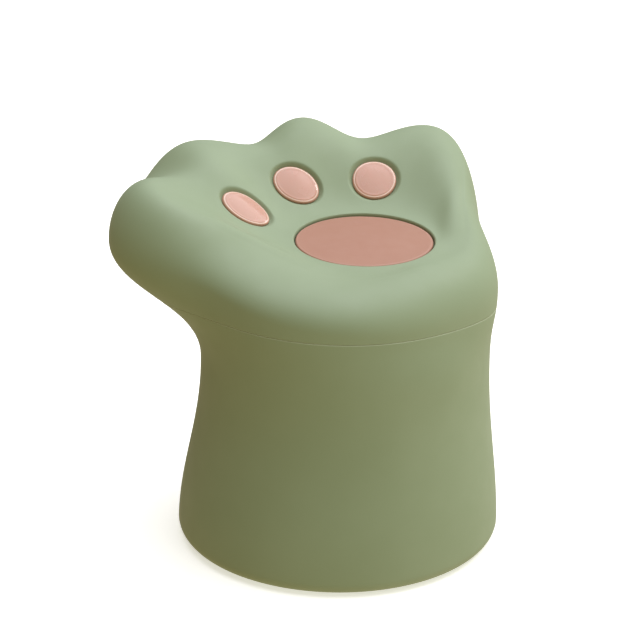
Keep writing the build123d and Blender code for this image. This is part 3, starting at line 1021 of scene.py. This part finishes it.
# --- Lid ---
@dataclass(frozen=True)
class Lid:
    """The paw: its shell with a soft-lipped pocket for each pad, and the four pads."""

    toe_gap: float = 0.35
    toe_depth: float = 1.6
    toe_lip: float = 1.2
    toe_foot: float = 0.6
    toe_reach: float = 9.0
    palm_depth: float = 2.2
    palm_lip: float = 0.8
    palm_gap: float = 0.35
    around: int = 470
    dense: tuple[float, float] = (58.0, 192.0)
    dense_share: float = 2.6
    dense_blend: float = 0.2
    # How much painted highlight the rings round the lid's rim at the seam take: a pale line along the seam.
    rim_highlights: tuple[float, ...] = (0.2, 0.5, 0.7, 0.5, 0.25)
    flank_rings: int = 25
    pocket_rings: int = 56
    plain_rings: int = 8
    pocket_span: tuple[float, float] = (3.26, 3.86)  # the stations that the toe pads' pockets lie between
    # Each toe pad's name, direction, station, half length, half width and turn, as PadPlace.on_toe says.
    toe_pads: tuple[tuple[str, float, float, float, float, float], ...] = (
        ("toe_pad_left", 168.0, 3.605, 8.2, 5.0, -101.0),
        ("toe_pad_middle", 129.0, 3.55, 7.8, 6.0, -55.0),
        ("toe_pad_right", 79.5, 3.55, 7.0, 7.0, 0.0),
    )
    palm_pad: tuple[float, float] = (21.2, 15.7)

    def directions(self) -> np.ndarray:
        """Directions all around, closer together over the toe pads."""
        fine = np.linspace(0, TURN, 4001)
        low, high = np.radians(self.dense)
        blend = self.dense_blend
        over = smoothstep(low - blend, low, fine) * (1 - smoothstep(high, high + blend, fine))
        weight = 1 + self.dense_share * over
        total = np.concatenate([[0], np.cumsum((weight[1:] + weight[:-1]) / 2)])
        return np.interp(np.linspace(0, total[-1], self.around, endpoint=False), total, fine)

    def places(self) -> list[tuple[str, PadPlace]]:
        """The place of each toe pad, by name."""
        return [(name, PadPlace.on_toe(*sizes)) for name, *sizes in self.toe_pads]

    def press(self, points: np.ndarray, places: Sequence[PadPlace]) -> np.ndarray:
        """Presses the pockets of the toe pads into the skin.

        A point moves by depth * s along the plane's inward direction, with s a smooth step from 0 at the
        outer end of the lip to 1 at the foot of the pocket's wall.

        Args:
            points: of the skin, shape (n, 3).
            places: of the pads.

        Returns:
            The moved points.
        """
        for place in places:
            u, v, w = place.local(points)
            off = place.outside(u, v, self.toe_gap)
            share = (1 - smoothstep(-self.toe_foot, self.toe_lip, off)) * (np.abs(w) < self.toe_reach)
            points = points - place.outward * (self.toe_depth * share)[:, None]
        return points

    def inside(self, angle: np.ndarray) -> list[np.ndarray]:
        """Rings from the middle of the inner wall out and down to the seam.

        Args:
            angle: directions in radians.

        Returns:
            The rings, from the middle.
        """
        wall = SEAM.lid_wall
        low = SKIN.station_at(angle, SEAM.height + SEAM.gap, SEAM.tilt, wall)
        rings = [self.palm_oval(angle, SKIN.palm_long * t, SKIN.palm_wide * t, wall) for t in (0.0, 0.5, 1.0)]
        rings += [SKIN.wall(angle, station, wall) for station in np.linspace(PALM - 0.1, BELLY, 20)]
        rings += [SKIN.wall(angle, BELLY + (low - BELLY) * t, wall) for t in np.linspace(0.15, 1, 8)]
        return rings

    def outside(self, angle: np.ndarray, above: np.ndarray) -> list[np.ndarray]:
        """Rings up the skin and over the crest to the palm, with the toe pads' pockets pressed in.

        Args:
            angle: directions in radians.
            above: the stations just above the rim.

        Returns:
            The rings, from the rim up.
        """
        shares = np.linspace(0, 1, self.flank_rings)[1:]
        rings = [SKIN.point(angle, above + (BELLY - above) * t) for t in shares]
        rings += [SKIN.point(angle, np.full_like(angle, BELLY + t)) for t in shares]
        places = [place for _, place in self.places()]
        ends = (CREST, *self.pocket_span, PALM)
        counts = (self.plain_rings, self.pocket_rings, self.plain_rings)
        spans = [np.linspace(first, last, count)[1:] for first, last, count in zip(ends, ends[1:], counts)]
        for station in np.concatenate(spans):
            rings.append(self.press(SKIN.point(angle, np.full_like(angle, station)), places))
        return rings

    def pocket(self, angle: np.ndarray) -> list[np.ndarray]:
        """Rings over the rounded lip of the main pad's pocket, down its wall and over its floor.

        Args:
            angle: directions in radians.

        Returns:
            The rings, from the palm in.
        """
        long, wide = (half + self.palm_gap for half in self.palm_pad)
        rings = []
        for t in np.radians(np.linspace(8, 90, 9)):
            outer_long = SKIN.palm_long + (long - SKIN.palm_long) * math.sin(t)
            outer_wide = SKIN.palm_wide + (wide - SKIN.palm_wide) * math.sin(t)
            rings.append(self.palm_oval(angle, outer_long, outer_wide, self.palm_lip * (1 - math.cos(t))))
        rings += [self.palm_oval(angle, long * t, wide * t, self.palm_depth) for t in (1.0, 0.97, 0.5, 0.0)]
        return rings

    def palm_oval(self, angle: np.ndarray, long: float, wide: float, depth: float) -> np.ndarray:
        """An oval of the palm, this deep below its plane."""
        return SKIN.palm_ring(angle, long, wide) - SKIN.palm_normal() * depth

    def build_shell(self, palette: Palette) -> bpy.types.Object:
        """Makes the shell: from the middle of the inner wall down to the rim, and up the skin to the palm.

        Args:
            palette: the finishes.

        Returns:
            The piece.
        """
        angle = self.directions()
        rings = self.inside(angle)
        rim = len(rings)
        low = SKIN.station_at(angle, SEAM.height + SEAM.gap, SEAM.tilt)
        tip = SKIN.point(angle, low)
        above = low + SEAM.rounding / SKIN.length_at(angle, low, SEAM.step)
        rings += corner(towards(tip, rings[-1], SEAM.rounding), tip, SKIN.point(angle, above), 6)
        rings += self.outside(angle, above) + self.pocket(angle)
        # The lid's rim rings at the seam take the painted highlight.
        highlights = {rim + k: e for k, e in enumerate(self.rim_highlights)}
        piece = ring_stack("lid_skin", rings, closed=False, highlights=highlights)
        palette.dress(piece, Slot.SAGE)
        return finished(piece, "lid", Slot.SAGE, "lid_shell")

    def build_pads(self, palette: Palette) -> list[bpy.types.Object]:
        """Makes the main pad and the three toe pads.

        Args:
            palette: the finishes.

        Returns:
            The pieces.
        """
        palm = PadPlace.on_palm(*self.palm_pad)
        main = Pad("main_pad", palm, Slot.ROSE, False, sink=0.5, crown=0.35, rounding=0.6, bead=0.03)
        toes = [Pad(name, place, Slot.PINK, True) for name, place in self.places()]
        return [pad.build(palette) for pad in [main, *toes]]


# --- Anti-slip pad ---
@dataclass(frozen=True)
class AntiSlipPad:
    """The silicone disc under the base, with round ribs."""

    radius: float = 38.0
    thick: float = 2.0
    rounding: float = 0.3
    rib_pitch: float = 3.2
    rib_deep: float = 0.45
    rib_margin: tuple[float, float] = (4.5, 3.0)  # from the edge, where the ribs begin to fade and end
    flat_margin: float = 2.0
    around: int = 128

    def build(self, palette: Palette) -> bpy.types.Object:
        """Makes the disc. Its lower face is z = deep (0.5 - 0.5 cos(2 pi r / pitch))^2 up to the last rib.

        Args:
            palette: the finishes.

        Returns:
            The piece.
        """
        angle = all_around(self.around)
        radii = np.linspace(0.0, self.radius - self.flat_margin, 96)
        relief = self.rib_deep * (0.5 - 0.5 * np.cos(TURN * radii / self.rib_pitch)) ** 2
        fade, end = (self.radius - margin for margin in self.rib_margin)
        relief *= 1 - smoothstep(fade, end, radii)
        rings = [ring(r, z, angle) for r, z in zip(radii, relief)]
        inner, outer = ring(self.radius - self.rounding, 0.0, angle), ring(self.radius, self.rounding, angle)
        rings += corner(inner, ring(self.radius, 0.0, angle), outer, 5)
        rings += [ring(self.radius * t, self.thick, angle) for t in (1.0, 0.5, 0.0)]
        piece = ring_stack("anti_slip_pad_ribbed", rings, closed=False)
        palette.dress(piece, Slot.GREY)
        return finished(piece, "root", Slot.GREY, "anti_slip_pad")


# --- Pieces kept from the model ---
KEPT = {
    "base_plate": Slot.WHITE,
    "cup_gasket": Slot.GREY,
    "water_cup": Slot.CLEAR,
    "bristle_sleeve": Slot.BRISTLE,
    "mouth_ring": Slot.WHITE,
    "splash_guard": Slot.BRISTLE,
    "guard_keeper": Slot.WHITE,
    "lid_liner": Slot.WHITE,
    "lid_seal": Slot.GREY,
    "liner_screws": Slot.STEEL,
}


# --- Studio ---
@dataclass(frozen=True)
class Lamp:
    """A soft square light that looks at the object."""

    name: str
    place: tuple[float, float, float]
    size: float
    power: float
    colour: tuple[float, float, float]

    def light(self, aim: Vector) -> None:
        """Makes the lamp and turns it to the aim."""
        data = bpy.data.lights.new(self.name, "AREA")
        data.size, data.energy, data.color = self.size, self.power, self.colour
        lamp = bpy.data.objects.new(self.name, data)
        lamp.location = self.place
        lamp.rotation_euler = (aim - lamp.location).to_track_quat("-Z", "Y").to_euler()
        bpy.context.scene.collection.objects.link(lamp)


@dataclass(frozen=True)
class Glow:
    """Soft light from one side of the surroundings."""

    axis: tuple[int, int, int]
    colour: tuple[float, float, float]


@dataclass(frozen=True)
class Studio:
    """Floor, lights, surroundings and camera."""

    lens: float = 106.9
    eye: tuple[float, float, float] = (0.0, -0.558, 0.279)
    pitch: float = 20.5
    roll: float = 0.55
    shift: float = -0.0375
    floor_half: float = 40.0
    clip: float = 0.01
    floor_glow: float = 0.5
    floor_colour: tuple[float, ...] = (0.93, 0.92, 0.9, 1.0)
    floor_shade: tuple[float, ...] = (0.91, 0.9, 0.88, 1.0)
    floor_roughness: float = 0.9
    floor_cloud: float = 400.0
    glows: tuple[Glow, ...] = (
        Glow((1, 0, 0), (0.81, 0.76, 0.62)),
        Glow((-1, 0, 0), (0.2, 0.12, 0.03)),
        Glow((0, 1, 0), (0.3, 0.3, 0.26)),
        Glow((0, -1, 0), (0.32, 0.3, 0.17)),
        Glow((0, 0, -1), (0.6, 0.47, 0.29)),
    )
    lamps: tuple[Lamp, ...] = (
        Lamp("key", (0.35, -0.05, 2.47), 2.7, 53.0, (1.0, 1.05, 1.13)),
        Lamp("glint", (0.85, 0.26, 0.9), 0.15, 1.5, (1.0, 1.0, 1.0)),
        Lamp("back", (0.5, 1.2, 2.0), 2.7, 18.0, (1.0, 0.95, 1.0)),
    )

    def build_floor(self) -> None:
        """A wide pale plane at z = 0 that takes shadows, and lets light from below through to the object."""
        half = self.floor_half
        corners = [(-half, -half, 0), (half, -half, 0), (half, half, 0), (-half, half, 0)]
        mesh = bpy.data.meshes.new("floor")
        mesh.from_pydata(corners, [], [(0, 1, 2, 3)])
        floor = bpy.data.objects.new("floor", mesh)
        floor.visible_diffuse = False
        floor.visible_glossy = False
        floor.visible_shadow = False
        board = Board("floor")
        clouds = board.noise(self.floor_cloud)
        board.drive("Base Color", board.blend(self.floor_colour, self.floor_shade, clouds))
        board.shader.inputs["Roughness"].default_value = self.floor_roughness
        board.shader.inputs["Emission Color"].default_value = (1, 1, 1, 1)
        board.shader.inputs["Emission Strength"].default_value = self.floor_glow
        mesh.materials.append(board.material)
        bpy.context.scene.collection.objects.link(floor)

    def build_surroundings(self) -> None:
        """Light from all around: the sum of the glows, each colour * max(0, direction . axis)."""
        world = bpy.data.worlds.new("surroundings")
        world.use_nodes = True
        board = Board.of_tree(world.node_tree)
        direction = board.lay("ShaderNodeTexCoord", {}, {}, "Generated")
        total: Input = (0.0, 0.0, 0.0)
        for glow in self.glows:
            turn = {0: direction, 1: glow.axis}
            facing = board.lay("ShaderNodeVectorMath", {"operation": "DOT_PRODUCT"}, turn, "Value")
            lit = board.lay("ShaderNodeMath", {"operation": "MAXIMUM"}, {0: facing, 1: 0.0})
            light = board.lay("ShaderNodeVectorMath", {"operation": "SCALE"}, {0: glow.colour, "Scale": lit})
            total = board.lay("ShaderNodeVectorMath", {"operation": "ADD"}, {0: total, 1: light})
        back = next(n for n in world.node_tree.nodes if n.type == "BACKGROUND")
        world.node_tree.links.new(total.socket, back.inputs["Color"])
        bpy.context.scene.world = world

    def build_camera(self) -> None:
        """The camera looks along +Y and down by the pitch, and leans by the roll."""
        data = bpy.data.cameras.new("camera")
        data.lens, data.shift_x, data.clip_start = self.lens, self.shift, self.clip
        camera = bpy.data.objects.new("camera", data)
        tip = Matrix.Rotation(math.radians(90 - self.pitch), 4, "X")
        lean = Matrix.Rotation(math.radians(self.roll), 4, "Z")
        camera.matrix_world = Matrix.Translation(self.eye) @ tip @ lean
        bpy.context.scene.collection.objects.link(camera)
        bpy.context.scene.camera = camera

    def build(self) -> None:
        """Makes the whole studio."""
        self.build_floor()
        self.build_surroundings()
        self.build_camera()
        middle = (CAD_BOX[0] + CAD_BOX[1]) / 2
        for lamp in self.lamps:
            lamp.light(middle)
        bpy.context.scene.view_settings.view_transform = "Standard"


def main() -> None:
    """Builds the sub-assemblies in order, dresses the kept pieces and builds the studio."""
    logging.basicConfig(level=logging.INFO, format="%(name)s: %(message)s")
    palette = Palette()
    Casing().build(palette)
    lid = Lid()
    lid.build_shell(palette)
    lid.build_pads(palette)
    AntiSlipPad().build(palette)
    for node, slot in KEPT.items():
        palette.dress(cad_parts[node], slot)
        LOG.info("%s keeps its shape, in %s", node, slot.value)
    Studio().build()
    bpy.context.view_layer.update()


if __name__ == "__main__":
    main()
